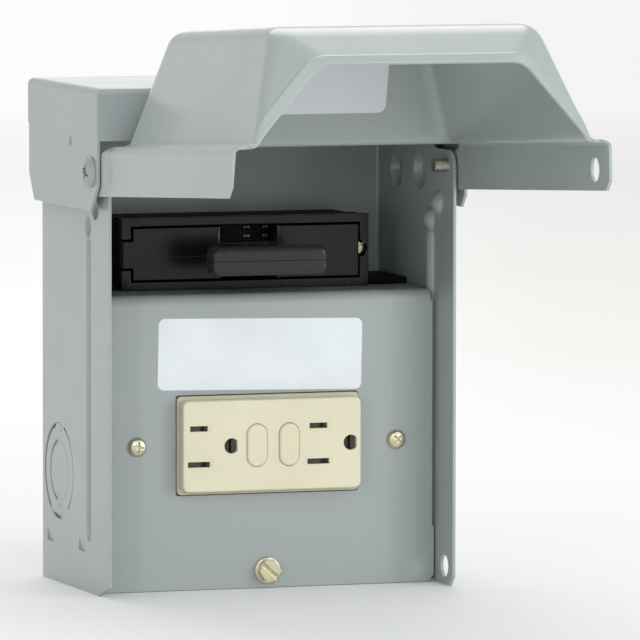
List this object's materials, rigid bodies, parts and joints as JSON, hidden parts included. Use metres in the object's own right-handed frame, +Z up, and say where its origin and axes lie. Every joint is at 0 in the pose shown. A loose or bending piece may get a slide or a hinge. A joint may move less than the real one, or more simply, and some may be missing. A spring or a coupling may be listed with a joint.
{
  "type": "outdoor gfci outlet enclosure",
  "caption": "Grey sheet-steel outdoor outlet enclosure with a hinged raised lid, a black pull-out switch handle and a recessed ivory ground-fault receptacle.",
  "frame": {"origin": "centre of the four wall-mount holes, on the plane of the raised pads that meet the wall", "axes": "+Y into the wall, -Y towards the user, +Z up, +X to the right as seen from the front"},
  "size_m": [0.1428, 0.2327, 0.206],
  "materials": {
    "grey_paint": "satin powder coat",
    "lid_paint": "satin powder coat",
    "painted_screw": "steel screw head painted over, worn at the recess",
    "label": "blank white label film, satin",
    "yellow_zinc": "yellow zinc plated steel",
    "zinc_steel": "bright zinc plate",
    "ivory_plastic": "moulded ivory thermoplastic",
    "black_plastic": "moulded",
    "black_phenolic": "moulded phenolic, semi-gloss",
    "circuit_board": "solder mask",
    "brass": "stamped strip",
    "copper": "plain copper",
    "aluminium": "extruded",
    "green_screw": "green dyed zinc"
  },
  "bodies": {
    "enclosure": {"enclosure_wrap": "grey_paint", "bottom_plate": "grey_paint", "top_cap": "grey_paint", "side_knockouts": "grey_paint", "bottom_knockouts": "grey_paint", "hinge_screws": "painted_screw", "dead_front": "grey_paint", "dead_front_label": "label", "dead_front_screw": "yellow_zinc", "clip_nut": "zinc_steel", "cover_screws": "yellow_zinc", "gfci_face": "ivory_plastic", "gfci_body": "black_plastic", "gfci_strap": "zinc_steel", "gfci_board": "circuit_board", "gfci_hot_contacts": "brass", "gfci_neutral_contacts": "zinc_steel", "gfci_ground_contacts": "brass", "gfci_terminal_screws": "brass", "gfci_coil": "copper", "gfci_sensor": "black_plastic", "pullout_base": "black_phenolic", "base_screws": "yellow_zinc", "switch_jaws": "copper", "wire_lugs": "aluminium", "lug_screws": "zinc_steel", "ground_lug": "aluminium", "ground_screw": "green_screw"},
    "lid": {"lid": "lid_paint", "lid_label": "label"},
    "handle": {"handle_upper": "black_phenolic", "handle_lower": "black_phenolic", "handle_rivets": "zinc_steel", "handle_blades": "copper"},
    "test_button": {"test_button": "ivory_plastic"},
    "reset_button": {"reset_button": "ivory_plastic"}
  },
  "joints": [
    {"name": "lid_hinge", "type": "hinge", "parent": "enclosure", "child": "lid", "pos_m": [0, -0.0757, 0.0489], "axis": [1, 0, 0], "range_deg": [0, 93.3]},
    {"name": "handle_slide", "type": "slide", "parent": "enclosure", "child": "handle", "axis": [0, -1, 0], "range_m": [0, 0.045]},
    {"name": "test_press", "type": "slide", "parent": "enclosure", "child": "test_button", "axis": [0, 1, 0], "range_m": [0, 0.0015], "stiffness_N_per_m": 400, "springref_m": -0.0015},
    {"name": "reset_press", "type": "slide", "parent": "enclosure", "child": "reset_button", "axis": [0, 1, 0], "range_m": [0, 0.0015], "stiffness_N_per_m": 400, "springref_m": -0.0015}
  ]
}
